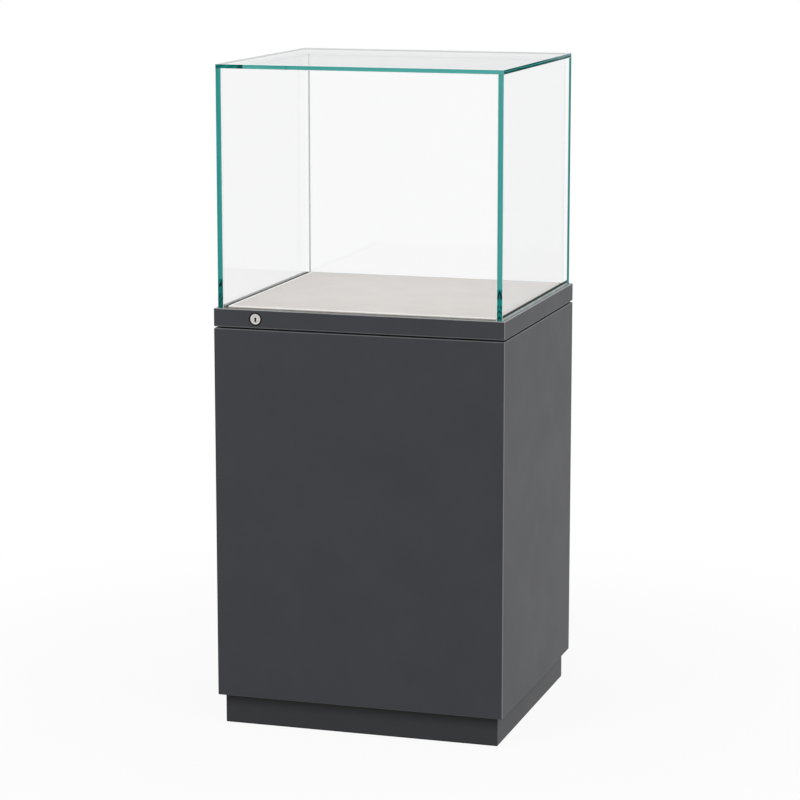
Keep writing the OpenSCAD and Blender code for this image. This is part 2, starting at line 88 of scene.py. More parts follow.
HALF_W = BODY_HI.x
HALF_D = BODY_HI.y
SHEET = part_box("body_front")[1].y - BODY_LO.y
RIM_Z = BAND_HI.z
PLINTH_U = HALF_W - PLINTH_HI.x
RAIL_U = HALF_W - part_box("hood_rail_right")[0].x
GLASS_U = HALF_W - GLASS_HI.x
GLASS_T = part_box("pane_right")[1].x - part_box("pane_right")[0].x
SEAT_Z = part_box("glazing_bed")[0].z
LOCK_X = (COLLAR_LO.x + COLLAR_HI.x) / 2
LOCK_Z = (COLLAR_LO.z + COLLAR_HI.z) / 2
LOCK_FRONT = (LOCK_X, COLLAR_LO.y, LOCK_Z)
COLLAR_T = COLLAR_HI.y - COLLAR_LO.y
COLLAR_R = (COLLAR_HI.x - COLLAR_LO.x) / 2
FACE_R = (BARREL_HI.x - BARREL_LO.x) / 2
PLUG_R = (PLUG_HI.x - PLUG_LO.x) / 2


# ---- Sizes of the fine forms ----

# Outer radius of the case's upright corners, and the least radius of an inner one
CORNER_R = 2.5 * MM
TINY_R = 0.15 * MM
CORNER_STEPS = 8
LOOP_POINTS = 4 * (CORNER_STEPS + 1)
# Inner radius of a fold in the sheet, and the steps round it
FOLD_R = 0.15 * MM
FOLD_STEPS = 4
# Rounding of the cut edges at the top and bottom of the body
BODY_EDGE_R = 1.5 * MM
# Flanges of the plinth, the foot flange of the hood's frame, and the gap from its rim to the glass
PLINTH_FLANGE_W = 10 * MM
RETURN_W = 10 * MM
GLAZING_GAP = 0.5 * MM
# Gap round the access cover, the rounding of its edges, and its screws' heads and holes
PANEL_GAP = 1 * MM
PANEL_EDGE_R = 0.4 * MM
PANEL_HEAD_R = 4.75 * MM
PANEL_HOLE_DEPTH = 3 * MM
# Heads of the keeper's screws, the bevel of a screw's head and tip, and, as shares of its head's
# radius, its shank, its length, and its socket's radius, wall and tip
KEEPER_HEAD_R = 4 * MM
SCREW_RIM = 0.15 * MM
SCREW_SHANK = 0.52
SCREW_LENGTH = 2.1
SOCKET_R = 0.34
SOCKET_WALL = 0.6
SOCKET_TIP = 0.85
# How far a hole stands off what it holds
HOLE = 0.15 * MM
# How far a cutter reaches past the surface that it cuts
PAST = 1 * MM
# Ground edges of the glass, and the adhesive between two panes
ARRIS = 0.5 * MM
BOND_GAP = 0.1 * MM
# Roundings of the deck board's edges and upright corners
DECK_EDGE_R = 3 * MM
DECK_CORNER_R = 3.5 * MM
# Lock: its roundings, the tube behind its face, the ring groove, which is at a share of the face's
# radius, the cam's thickness, the keyhole, and the square that carries the cam
LOCK_SOFT = 0.35 * MM
BARREL_TUBE_R = 8 * MM
BARREL_CLEAR = 0.1 * MM
GROOVE_AT = 0.70
GROOVE_W = 0.3 * MM
GROOVE_DEPTH = 0.35 * MM
CAM_T = 2 * MM
KEY_HOLE_R = 2.5 * MM
KEY_SLOT_W = 1.8 * MM
KEY_FOOT_W = 5 * MM
KEY_DEPTH = 5 * MM
KEY_HOLE_UP = 0.8 * MM
KEY_FOOT_DOWN = 5.2 * MM
SQUARE_W = 7 * MM
SQUARE_EDGE_R = 0.2 * MM
# Riser tubes and the gap at their welded ends, and the dust seal
RISER_W = 25 * MM
RISER_WALL = 2 * MM
RISER_R = 3 * MM
WELD_GAP = 0.2 * MM
SEAL_W = 3.4 * MM
SEAL_R = 0.384 * SEAL_W
# Bevel of the plain nodes that stay
NODE_BEVEL = 0.3 * MM
NODE_BEVEL_ANGLE = math.radians(50)
# Edges that are this sharp stay sharp
SHARP = math.radians(32)
# Least part of a normal that counts as leaning that way
LEAN = 0.15
# From the front to the back
BACKWARDS = (0, 1, 0)

# ---- Places and sizes of what is coloured ----

# Soft edge of a line
SOFT = 0.4 * MM
# Height up to which the foot of the glass is painted dark, as painted shade of its rebate
FOOT_Z = RIM_Z - 3 * MM
# Painted lines along the foot of the glass: on the sides, a painted reflection of the rim and the painted
# shade of the channel above it, and on the front and back the painted shade of the channel alone
RIM_IMAGE = 4.5 * MM
CHANNEL_IMAGE = 5 * MM
CHANNEL_FADE = 1.6 * MM
FRONT_IMAGE = 1.8 * MM
# What shows of a side wall's foot from within: a painted highlight on its pale bed above the dark of the
# rebate
BED_IMAGE = 1.7 * MM
# Lowest stretch of the upright edges, with a painted reflection of the dark frame below it, and the tips of
# the figures and the span of the waves in that painted reflection
MIRRORED = 62 * MM
MIRRORED_LEFT = 59 * MM
FIGURE_DOWN = 3 * MM
WAVES = (2 * MM, 29 * MM)
ARROW_H = 17 * MM
ARROW_SLOPE = 0.34
ARROW_TIP_R = 0.9 * MM
ARROW_HEART = (2.2 * MM, 3.2 * MM)
WEDGE_H = 13 * MM
WEDGE_SLOPE = 0.5
WEDGE_LEFT = (1.6 * MM, 2.6 * MM)
WEDGE_RIGHT = (2.6 * MM, 3.4 * MM)
# Stretch of the top pane's front edge with a painted reflection of the corner beside it, with a darker end,
# and a fine mark further along
CORNER_MIRRORED = 57 * MM
CORNER_END = (CORNER_MIRRORED - 16 * MM, CORNER_MIRRORED - 8 * MM)
MARK_AT = 147 * MM
# Painted reflections in the top pane's side edges: a lens and a dark line below its upper face, and how far
# they drift
LENS = (2.8 * MM, 4.9 * MM)
LOW_LINE = (5.6 * MM, 7.4 * MM)
LENS_DRIFT = 5 * MM
LENS_SOFT = 0.5 * MM
# Painted highlights along the deck board's front and its left side, as paler margins of its coating
DECK_MARGIN = 3.5 * MM
DECK_SIDE_MARGIN = 8 * MM
MARGIN_SOFT = 0.7 * MM
# How much of a far edge is painted, as an image seen through the face of its own pane
FAR_EDGE = 3.6 * MM
FAR_STRIP = 20 * MM
# Numbers of a mix node's sockets for colours
MIX_FIRST, MIX_SECOND, MIX_RESULT = 6, 7, 2
# Middle range of a noise, which is spread over a tone or a gloss
NOISE_SPAN = (0.3, 0.7)
# At this index a face mirrors nearly all that meets it from within, and less than this span from outside
WITHIN_INDEX = 100.0
WITHIN_SPAN = (0.970, 0.995)
# Share of the polish on an edge of the glass
POLISH = 0.008

# ---- Colours ----

WHITE = (1, 1, 1)
ANTHRACITE = (0.0433, 0.0449, 0.0519)
GLASS_TINT = (0.996, 0.996, 0.997)
GLASS_SHINE = (0.78, 0.785, 0.79)
# Grey of the painted image of a far edge
FAR_EDGE_GREY = (0.34, 0.38, 0.38)
FROST = ((0.86, 0.90, 0.89), (0.93, 0.95, 0.94))
# Painted shade on the underside of the glass
FOOT_PAINTED_SHADE = ((0.030, 0.045, 0.042), (0.050, 0.070, 0.066))
BOND_GREY = ((0.18, 0.26, 0.25), (0.26, 0.34, 0.33))
# Greens of the glass edges. The deeper ones also serve the painted reflections in their feet, lenses and ends
GREEN_TOP = (0.089, 0.404, 0.376)
GREEN_PALE = (0.074, 0.375, 0.352)
GREEN_BRIGHT = (0.043, 0.318, 0.290)
GREEN_DEEP = (0.015, 0.249, 0.224)
GREEN_FOOT_LIGHT = (0.006, 0.266, 0.242)
GREEN_FOOT = (0.004, 0.204, 0.185)
GREEN_LENS = (0.054, 0.324, 0.297)
GREEN_SHADE = (0.002, 0.103, 0.093)
GREEN_DARK = (0.001, 0.060, 0.052)
GREEN_BLACK = (0.000, 0.010, 0.010)
GREEN_GREY = (0.228, 0.371, 0.366)
# Painted shade of the rebate, and painted shade, a painted reflection and a painted highlight in lines along
# the foot of the glass
REBATE_PAINTED_SHADE = (0.026, 0.036, 0.034)
CHANNEL_PAINTED_SHADE = (0.050, 0.064, 0.060)
RIM_PAINTED_REFLECTION = (0.530, 0.594, 0.583)
CHANNEL_PAINTED_OLIVE_SHADE = (0.270, 0.255, 0.225)
BED_PAINTED_HIGHLIGHT = (0.56, 0.58, 0.58)

# ---- Studio ----

FLOOR_HALF = 30
# How much of the floor's look is plain white beside the object, and where it becomes all white
FLOOR_WHITE = 0.92
FLOOR_FADE = (0.6, 1.6)
# Strength of the plain grey light from all round
AMBIENT = 0.42
LIT_MIDDLE = (0, 0, 0.7 * CAD_HI.z)
# Lamps: name, place, what it points at, width and power
LAMPS = (
    ("key", (3.6, -1.2, 2.6), LIT_MIDDLE, 2.2, 42),
    ("fill", (-2.0, -3.4, 2.7), LIT_MIDDLE, 2.0, 71),
    ("overhead", (0, -0.6, 4.2), (0, 0, 0), 3.0, 52),
    ("back", (3.0, 4.0, 3.4), LIT_MIDDLE, 2.4, 34),
)
# Place of the camera in metres, its pitch below the horizon and its turn to the left in radians, and
# its sensor and lens in millimetres
CAMERA_AT = (1.7081, -5.5172, 1.7163)
CAMERA_DOWN = 0.1845
CAMERA_TURN = 0.2997
CAMERA_SENSOR = 36
CAMERA_LENS = 128.17
CAMERA_REACH = 100


# ---- Node tools. "look" is the material or world that a node goes into ----

def settle(thing, **settings):
    """Sets several properties of a thing."""
    for key, value in settings.items():
        setattr(thing, key, value)
    return thing


def new_look(name, looks=bpy.data.materials):
    look = looks.new(name)
    look.use_nodes = True
    look.node_tree.nodes.clear()
    return look


def feed(look, socket, value):
    """Sets a socket, or links it to another node's output. A colour is given without its alpha."""
    if isinstance(value, bpy.types.NodeSocket):
        look.node_tree.links.new(value, socket)
    elif socket.type == "RGBA":
        socket.default_value = (*value, 1.0)
    else:
        socket.default_value = value


def node(look, kind, inputs=None, **settings):
    """Adds a node. inputs maps a socket's name or number to a value or to another node's output."""
    made = settle(look.node_tree.nodes.new("ShaderNode" + kind), **settings)
    for key, value in (inputs or {}).items():
        feed(look, made.inputs[key], value)
    return made


def place(look, scale=(1, 1, 1)):
    """Object coordinates in metres, multiplied by scale."""
    source = node(look, "TexCoord").outputs["Object"]
    if scale == (1, 1, 1):
        return source
    return node(look, "Mapping", {"Vector": source, "Scale": scale}).outputs[0]


def coordinate(look, axis):
    """One object coordinate: "X", "Y" or "Z"."""
    return node(look, "SeparateXYZ", {0: place(look)}).outputs[axis]


def noise(look, per_metre, detail=2, rough=0.5, warp=0.0, scale=(1, 1, 1)):
    """A noise, which lies closer along each axis by its scale."""
    inputs = {"Vector": place(look, scale), "Scale": per_metre, "Detail": detail, "Roughness": rough,
              "Distortion": warp}
    return node(look, "TexNoise", inputs).outputs["Fac"]


def math_node(look, operation, *values):
    return node(look, "Math", dict(enumerate(values)), operation=operation).outputs[0]


def minus(look, first, second):
    return math_node(look, "SUBTRACT", first, second)


def product(look, *values):
    result = values[0]
    for value in values[1:]:
        result = math_node(look, "MULTIPLY", result, value)
    return result


def weighted(look, first, share, second):
    """A share of the first value, and the rest of the second."""
    return math_node(look, "MULTIPLY_ADD", first, share, product(look, second, 1 - share))


def fade(look, value, start, end, low=0.0, high=1.0):
    """Goes smoothly from low to high as value goes from start to end."""
    inputs = {"Value": value, "From Min": start, "From Max": end, "To Min": low, "To Max": high}
    return node(look, "MapRange", inputs, interpolation_type="SMOOTHSTEP").outputs[0]


def spread(look, pattern, low=0.0, high=1.0):
    """Spreads a noise from low to high."""
    return fade(look, pattern, *NOISE_SPAN, low, high)


def between(look, value, low, high, soft=SOFT):
    """1 between two values, and 0 outside them."""
    above = fade(look, value, low - soft, low + soft)
    below = fade(look, value, high - soft, high + soft, 1.0, 0.0)
    return product(look, above, below)


def blend(look, share, first, second):
    """A colour between two colours or colour sockets."""
    inputs = {0: share, MIX_FIRST: first, MIX_SECOND: second}
    return node(look, "Mix", inputs, data_type="RGBA").outputs[MIX_RESULT]


def grey(value):
    return (value, value, value)


def scaled(colour, factor):
    return tuple(part * factor for part in colour)


def principled(look, colour, roughness, shine=0.5, relief=None, metallic=0.0):
    """relief is the pattern, the depth and the strength of a bump."""
    inputs = {"Base Color": colour, "Roughness": roughness, "Specular IOR Level": shine,
              "Metallic": metallic}
    if relief:
        bump = dict(zip(("Height", "Distance", "Strength"), relief))
        inputs["Normal"] = node(look, "Bump", bump).outputs[0]
    return node(look, "BsdfPrincipled", inputs).outputs[0]


def glossy(look, colour, roughness):
    return node(look, "BsdfGlossy", {"Color": colour, "Roughness": roughness}).outputs[0]


def see_through(look, tint=WHITE):
    return node(look, "BsdfTransparent", {"Color": tint}).outputs[0]


def mix_shaders(look, share, first, second):
    return node(look, "MixShader", {0: share, 1: first, 2: second}).outputs[0]


def surface(look, shader):
    node(look, "OutputMaterial", {"Surface": shader})
    return look


# ---- Coats, metals and plastics ----

def powder_coat(name, colour, roughness=0.48, shine=0.22, shade=None):
    """Fine satin powder coat with a faint orange peel. With shade, painted shade darkens it at the first
    height of shade, and it is plain from the second on."""
    look = new_look(name)
    tone = weighted(look, noise(look, 900, rough=0.6), 0.35, noise(look, 9, detail=3, rough=0.6))
    coat = blend(look, spread(look, tone), scaled(colour, 0.93), scaled(colour, 1.07))
    if shade:
        # Painted shade: the tone darkens towards the first height of shade
        painted_shade = fade(look, coordinate(look, "Z"), *shade, 0.80, 0.0)
        coat = blend(look, painted_shade, coat, grey(0.004))
    gloss = spread(look, tone, roughness - 0.03, roughness + 0.04)
    peel = (noise(look, 420), 0.02 * MM, 0.5)
    return surface(look, principled(look, coat, gloss, shine, peel))


def primer(name):
    """Matt black primer on the hidden steel."""
    look = new_look(name)
    cloud = noise(look, 30, detail=4, rough=0.6)
    grain = noise(look, 1500)
    colour = blend(look, fade(look, cloud, 0.35, 0.7), grey(0.034), grey(0.050))
    gloss = spread(look, grain, 0.55, 0.72)
    return surface(look, principled(look, colour, gloss, 0.4, (grain, 0.03 * MM, 0.4)))


def plated(name, dark, light, scale, roughness):
    """Plated or brushed steel. Its fine marks lie closer along each axis by their scale."""
    look = new_look(name)
    marks = noise(look, 60, detail=5, rough=0.65, scale=scale)
    tone = weighted(look, marks, 0.6, noise(look, 45, detail=3, rough=0.6))
    colour = blend(look, spread(look, tone), dark, light)
    gloss = spread(look, marks, roughness - 0.05, roughness + 0.07)
    relief = (marks, 0.01 * MM, 0.4)
    return surface(look, principled(look, colour, gloss, relief=relief, metallic=1.0))


def moulded(name, colour, roughness, shine=0.4):
    """Moulded plastic or rubber with a fine texture."""
    look = new_look(name)
    grain = noise(look, 1400, detail=3, rough=0.6)
    tone = blend(look, fade(look, noise(look, 70), 0.3, 0.75), colour, scaled(colour, 1.45))
    gloss = spread(look, grain, roughness - 0.06, roughness + 0.06)
    return surface(look, principled(look, tone, gloss, shine, (grain, 0.04 * MM, 0.5)))


def deck_coat(name, dark, light, painted_highlight=None):
    """Warm, faintly mottled light grey. The last argument is the colour of painted highlights in strips along
    the front and left side.
    """
    look = new_look(name)
    fine = noise(look, 260, detail=3, rough=0.65)
    tone = weighted(look, fine, 0.6, noise(look, 16, detail=4, rough=0.6))
    coat = blend(look, fade(look, tone, 0.36, 0.64), dark, light)
    if painted_highlight:
        # Painted highlights: paler strips along the front and the left side
        past_side = minus(look, DECK_LO.x + DECK_SIDE_MARGIN, coordinate(look, "X"))
        past_front = minus(look, DECK_LO.y + DECK_MARGIN, coordinate(look, "Y"))
        past = math_node(look, "MAXIMUM", past_side, past_front)
        coat = blend(look, fade(look, past, -MARGIN_SOFT, MARGIN_SOFT), coat, painted_highlight)
    gloss = spread(look, fine, 0.55, 0.66)
    return surface(look, principled(look, coat, gloss, 0.4, (fine, 0.03 * MM, 0.4)))


# ---- Glass ----

def seen_from_within(look):
    """1 where a face is met from inside the glass, and 0 where it is met from outside."""
    fresnel = node(look, "Fresnel", {"IOR": WITHIN_INDEX}).outputs[0]
    return fade(look, fresnel, *WITHIN_SPAN)


def glass_face(name, bands=(), bands_within=(), far_strip=False):
    """Clear face of a pane, which mirrors more at a glancing angle, with painted shade of its rebate low
    down.
    bands are painted lines (low, high, soft, colour) of shade and reflection along its foot that show from
    outside, bands_within from inside it. far_strip adds a painted image of the rear edge to the outer face of
    a side pane."""
    look = new_look(name)
    within = seen_from_within(look)
    outside = minus(look, 1.0, within)
    facing = node(look, "LayerWeight", {"Blend": 0.5}).outputs["Facing"]
    glancing = math_node(look, "POWER", facing, 5.0)
    glancing = product(look, glancing, fade(look, within, 0.0, 1.0, 0.9, 0.3))
    mirror = math_node(look, "ADD", glancing, 0.04)
    shader = mix_shaders(look, mirror, see_through(look, GLASS_TINT), glossy(look, GLASS_SHINE, 0.02))
    height = coordinate(look, "Z")
    # Painted shade of the rebate over the foot of the glass
    in_rebate = fade(look, height, FOOT_Z, FOOT_Z + MM, 1.0, 0.0)
    shader = mix_shaders(look, in_rebate, shader, line_colour(look, REBATE_PAINTED_SHADE))
    # Painted lines of shade, reflection and highlight along the foot
    for side, lines in ((outside, bands), (within, bands_within)):
        for low, high, soft, colour in lines:
            share = product(look, side, between(look, height, low, high, soft))
            shader = mix_shaders(look, share, shader, line_colour(look, colour))
    if far_strip:
        shader = far_edge_strip(look, shader, facing, outside)
    return surface(look, shader)


def far_edge_strip(look, shader, facing, outside):
    """A painted image of the rear edge of a side pane, green on its outer face at a glancing angle."""
    start = GLASS_HI.y - FAR_STRIP
    y = coordinate(look, "Y")
    share = product(look, fade(look, y, start, start + MM), fade(look, facing, 0.55, 0.70), outside,
                    fade(look, coordinate(look, "Z"), RIM_Z, RIM_Z + MM))
    green = blend(look, fade(look, y, start, GLASS_HI.y), GREEN_PALE, GREEN_DEEP)
    return mix_shaders(look, share, shader, polished(look, green))


def line_colour(look, colour):
    """Matt colour of the painted lines of shade, reflection and highlight along the foot of the glass, uneven
    along their length.
    """
    uneven = noise(look, 60, detail=3, rough=0.6, scale=(1, 1, 6))
    tone = blend(look, spread(look, uneven), scaled(colour, 0.75), scaled(colour, 1.2))
    return principled(look, tone, 0.5, 0.0)


def polished(look, colour):
    """Deep colour under a thin polish that mirrors the same at every angle."""
    body = principled(look, colour, 0.4, 0.0)
    return mix_shaders(look, POLISH, body, glossy(look, grey(0.9), 0.12))


def glass_edge(look, shader, within=None):
    """An edge with this shader from outside, and clear for what meets it from inside the glass."""
    return surface(look, mix_shaders(look, seen_from_within(look), shader, within or see_through(look)))


def streaked(look, along, low, high):
    """Fine streaks along one axis over a slow change of tone, from 0 to 1."""
    scale = tuple(3 if axis == along else 400 for axis in "XYZ")
    streaks = noise(look, 1.0, detail=3, rough=0.55, warp=0.4, scale=scale)
    return fade(look, weighted(look, streaks, 0.75, noise(look, 14)), low, high)


def slanted_waves(look, across, along, per_metre, slope, low, high, wobble=0.012):
    """Uneven slanted waves, 1 on their crests. slope is how far one runs along for each metre across."""
    phase = math_node(look, "MULTIPLY_ADD", across, slope, along)
    phase = math_node(look, "MULTIPLY_ADD", noise(look, 130), wobble, phase)
    wave = math_node(look, "SINE", product(look, phase, 2 * math.pi * per_metre))
    return fade(look, wave, low, high)


def arrowhead(look, across, below_tip):
    """Dark arrowhead with a lighter heart, its tip up."""
    half_width = math_node(look, "MULTIPLY_ADD", below_tip, ARROW_SLOPE, ARROW_TIP_R)
    depth = minus(look, half_width, math_node(look, "ABSOLUTE", across))
    heart = product(look, fade(look, depth, *ARROW_HEART), 0.5)
    return product(look, fade(look, depth, -SOFT, SOFT), minus(look, 1.0, heart),
                   between(look, below_tip, 0, ARROW_H, MM))


def side_wedge(look, across, below_tip):
    """Dark wedge with an upright right side and a slanted left one, its tip up."""
    left = math_node(look, "MULTIPLY_ADD", below_tip, WEDGE_SLOPE, across)
    return product(look, between(look, below_tip, 0, WEDGE_H, MM), fade(look, left, *WEDGE_LEFT),
                   fade(look, across, *WEDGE_RIGHT, 1.0, 0.0))


def edge_foot(look, across, height, top, at_left):
    """Foot of an upright edge, a painted reflection of the dark frame: deeper green, with a dark figure at
    its top and waves lower down.
    """
    foot = blend(look, streaked(look, "Z", 0.3, 0.7), GREEN_SHADE if at_left else GREEN_FOOT,
                 GREEN_FOOT_LIGHT)
    below_tip = minus(look, top - FIGURE_DOWN, height)
    if at_left:
        figure = side_wedge(look, across, below_tip)
        waves = slanted_waves(look, across, height, 75, -2.0, -0.5, 0.5, 0.006)
    else:
        figure = arrowhead(look, across, below_tip)
        waves = slanted_waves(look, math_node(look, "ABSOLUTE", across), height, 85, 1.5, -0.5, 0.5)
    foot = blend(look, figure, foot, GREEN_BLACK)
    waves = product(look, waves, between(look, height, *WAVES, 1.5 * MM))
    return blend(look, waves, foot, GREEN_DARK)


def upright_edge(name, middle, at_left):
    """Front or rear edge of a side pane, whose middle is at x = middle."""
    look = new_look(name)
    across = minus(look, coordinate(look, "X"), middle)
    height = minus(look, coordinate(look, "Z"), RIM_Z)
    side = fade(look, across, -GLASS_T / 2, GLASS_T / 2)
    tone = weighted(look, side, 0.5, streaked(look, "Z", 0.33, 0.62))
    dark, light = (GREEN_DEEP, GREEN_BRIGHT) if at_left else (GREEN_BRIGHT, GREEN_PALE)
    top = MIRRORED_LEFT if at_left else MIRRORED
    # Painted reflection of the dark frame in the foot
    in_foot = fade(look, height, top - MM, top, 1.0, 0.0)
    foot = edge_foot(look, across, height, top, at_left)
    colour = blend(look, in_foot, blend(look, tone, dark, light), foot)
    return glass_edge(look, polished(look, colour))


def top_edge_within(look):
    """A painted image of the top pane's far edges, seen through it as a thin grey line along its upper face.
    """
    level = GLASS_HI.z - FAR_EDGE
    line = fade(look, coordinate(look, "Z"), level - SOFT, level)
    return see_through(look, blend(look, line, WHITE, FAR_EDGE_GREY))


def top_front_edge(name):
    """Front or rear edge of the top pane: green, with a painted reflection as a dark streaked end at the
    left, and a fine mark.
    """
    look = new_look(name)
    along = minus(look, coordinate(look, "X"), GLASS_LO.x)
    waves = slanted_waves(look, coordinate(look, "Z"), along, 40, -2.4, -0.3, 0.7, 0.006)
    share = math_node(look, "MAXIMUM", product(look, waves, 0.6), fade(look, along, *CORNER_END))
    dark = blend(look, share, GREEN_FOOT, GREEN_DARK)
    colour = blend(look, streaked(look, "X", 0.30, 0.60), GREEN_BRIGHT, GREEN_TOP)
    # Painted reflection of the corner beside the left end
    in_corner = fade(look, along, CORNER_MIRRORED - 0.5 * MM, CORNER_MIRRORED + 0.5 * MM, 1.0, 0.0)
    colour = blend(look, in_corner, colour, dark)
    mark = product(look, between(look, along, MARK_AT - MM, MARK_AT + MM), 0.5)
    colour = blend(look, mark, colour, GREEN_SHADE)
    return glass_edge(look, polished(look, colour), top_edge_within(look))


def top_side_edge(name):
    """Side edge of the top pane: dark green with painted reflections, long lighter lenses over a dark line,
    paler at the rear.
    """
    look = new_look(name)
    drift = minus(look, noise(look, 2.0, warp=0.5, scale=(1, 6, 1)), 0.5)
    level = math_node(look, "MULTIPLY_ADD", drift, LENS_DRIFT, coordinate(look, "Z"))
    level = minus(look, GLASS_HI.z, level)
    lenses = noise(look, 2.0, detail=1, rough=0.4, warp=0.6, scale=(1, 9, 90))
    lens = product(look, between(look, level, *LENS, LENS_SOFT), fade(look, lenses, 0.35, 0.60, 0.65, 1.0))
    colour = blend(look, lens, GREEN_SHADE, GREEN_LENS)
    low_line = product(look, between(look, level, *LOW_LINE, LENS_SOFT), 0.8)
    colour = blend(look, low_line, colour, GREEN_DARK)
    paler = product(look, fade(look, coordinate(look, "Y"), -0.1 * HALF_D, 0.9 * HALF_D),
                    fade(look, level, 4.5 * MM, 6.5 * MM, 1.0, 0.25))
    colour = blend(look, paler, colour, GREEN_GREY)
    return glass_edge(look, polished(look, colour), top_edge_within(look))


def frosted(look):
    """The grain of a ground arris, and its white."""
    grain = noise(look, 1600, detail=3, rough=0.6)
    return grain, blend(look, grain, *FROST)


def ground_arris(name):
    """Fine ground bevel along an edge of the glass, frosted white."""
    look = new_look(name)
    grain, white = frosted(look)
    return glass_edge(look, principled(look, white, 0.55, 0.2, (grain, 0.02 * MM, 0.3)))


def arris_below_top(name):
    """Lower front arris of the top pane: white over the clear front, green over the side panes' ends."""
    look = new_look(name)
    start = GLASS_HI.x - GLASS_T
    green = fade(look, math_node(look, "ABSOLUTE", coordinate(look, "X")), start, start + 0.5 * MM)
    return glass_edge(look, polished(look, blend(look, green, frosted(look)[1], GREEN_SHADE)))


def painted_shade_glass_foot(name):
    """Underside of a wall of glass, painted dark as painted shade of its rebate."""
    look = new_look(name)
    return surface(look, principled(look, blend(look, noise(look, 90), *FOOT_PAINTED_SHADE), 0.35))


def glass_bond(name, share):
    """Bonded end of a pane, which shows through the glass as a grey line."""
    look = new_look(name)
    line = principled(look, blend(look, noise(look, 60), *BOND_GREY), 0.3, 0.2)
    return surface(look, mix_shaders(look, share, see_through(look), line))


# ---- Materials, by the record's slots, and the finishes of single faces ----

MATERIALS = {
    "body_coat": powder_coat("satin_powder_coat", ANTHRACITE),
    # The plinth's coat is the body's coat painted darker, as painted shade under the body, with more painted
    # shade at its top
    "plinth_coat": powder_coat("plinth_powder_coat", (0.033, 0.034, 0.038),
                               shade=(PLINTH_HI.z, PLINTH_HI.z - 30 * MM)),
    "inner_steel": primer("black_primer"),
    "bare_steel": plated("zinc_plate", (0.40, 0.41, 0.42), (0.62, 0.62, 0.61), (1, 1, 1), 0.34),
    "black_screws": plated("blackened_steel", (0.035, 0.035, 0.038), (0.08, 0.08, 0.085), (1, 1, 6), 0.36),
    "black_plastic": moulded("black_plastic", (0.008, 0.008, 0.009), 0.6, 0.1),
    "seal_rubber": moulded("seal_rubber", (0.012, 0.012, 0.012), 0.7, 0.2),
    "foot_rubber": moulded("foot_rubber", (0.014, 0.014, 0.014), 0.75),
    # The deck's coat, with painted highlights along its front and left side
    "deck_paint": deck_coat("deck_coating", (0.641, 0.607, 0.574), (0.698, 0.665, 0.633),
                            painted_highlight=(0.90, 0.88, 0.85)),
    "glazing_tape": moulded("glazing_tape", (0.30, 0.32, 0.32), 0.45),
    "lock_black": moulded("lock_collar_black", (0.004, 0.004, 0.005), 0.4, 0.1),
    "nickel": plated("satin_nickel", (0.61, 0.59, 0.56), (0.68, 0.66, 0.63), (14, 14, 14), 0.24),
    "clear_glass": glass_face("clear_glass"),
}
MATERIALS["frame_coat"] = MATERIALS["body_coat"]
# Outer faces of the glass, with painted shade and painted reflections along their feet
OUTER_SIDE_GLASS = glass_face(
    "side_glass_outer_face",
    bands=[(RIM_Z, RIM_Z + RIM_IMAGE + CHANNEL_IMAGE, CHANNEL_FADE, CHANNEL_PAINTED_SHADE),
           (RIM_Z - MM, RIM_Z + RIM_IMAGE, SOFT, RIM_PAINTED_REFLECTION)],
    bands_within=[(RIM_Z - BED_IMAGE, RIM_Z + 0.5 * MM, SOFT, BED_PAINTED_HIGHLIGHT)],
    far_strip=True)
OUTER_FRONT_GLASS = glass_face(
    "front_glass_outer_face",
    bands=[(RIM_Z, RIM_Z + FRONT_IMAGE, SOFT, CHANNEL_PAINTED_OLIVE_SHADE)])
SIDE_MIDDLE = GLASS_HI.x - GLASS_T / 2
EDGE_LEFT = upright_edge("glass_edge_left", -SIDE_MIDDLE, True)
EDGE_RIGHT = upright_edge("glass_edge_right", SIDE_MIDDLE, False)
EDGE_FRONT = top_front_edge("glass_edge_across")
EDGE_SIDE = top_side_edge("glass_edge_side")
BOND_CLEAR = glass_bond("glass_bond_clear", 0.05)
BOND_LINE = glass_bond("glass_bond_line", 0.70)
ARRIS_GROUND = ground_arris("ground_arris")
ARRIS_BELOW_TOP = arris_below_top("arris_below_top")
GLASS_FOOT = painted_shade_glass_foot("painted_shade_glass_foot")
# Painted light on the roundings of the sheet: copies of the coat lightened as painted highlights and sheen,
# and darkened as painted shade
COAT_PAINTED_TOP_HIGHLIGHT = powder_coat("coat_painted_top_highlight", (0.120, 0.123, 0.132), 0.40, 0.4)
COAT_PAINTED_CORNER_HIGHLIGHT = powder_coat("coat_painted_corner_highlight", (0.210, 0.215, 0.225), 0.40, 0.4)
COAT_PAINTED_FOOT_HIGHLIGHT = powder_coat("coat_painted_foot_highlight", (0.056, 0.058, 0.064), 0.44, 0.3)
COAT_PAINTED_LOW_HIGHLIGHT = powder_coat("coat_painted_low_highlight", (0.130, 0.134, 0.142), 0.44, 0.3)
COAT_PAINTED_CONTACT_SHADOW = powder_coat("coat_painted_contact_shadow", (0.012, 0.012, 0.014), 0.6, 0.1)
COAT_PAINTED_RIM_SHEEN = powder_coat("coat_painted_rim_sheen", (0.250, 0.255, 0.262), 0.20, 0.5)
COAT_PAINTED_CORNER_SHADE = powder_coat("coat_painted_corner_shade", (0.018, 0.018, 0.020), 0.60, 0.1)
# Painted light on the deck board: a painted highlight on its rounded upper edge, and painted shade on its
# sides
DECK_PAINTED_HIGHLIGHT = deck_coat("deck_painted_highlight", (0.88, 0.85, 0.81), (0.93, 0.91, 0.88))
DECK_PAINTED_SHADE = deck_coat("deck_painted_shade", (0.58, 0.56, 0.53), (0.66, 0.64, 0.61))


# ---- Mesh tools ----

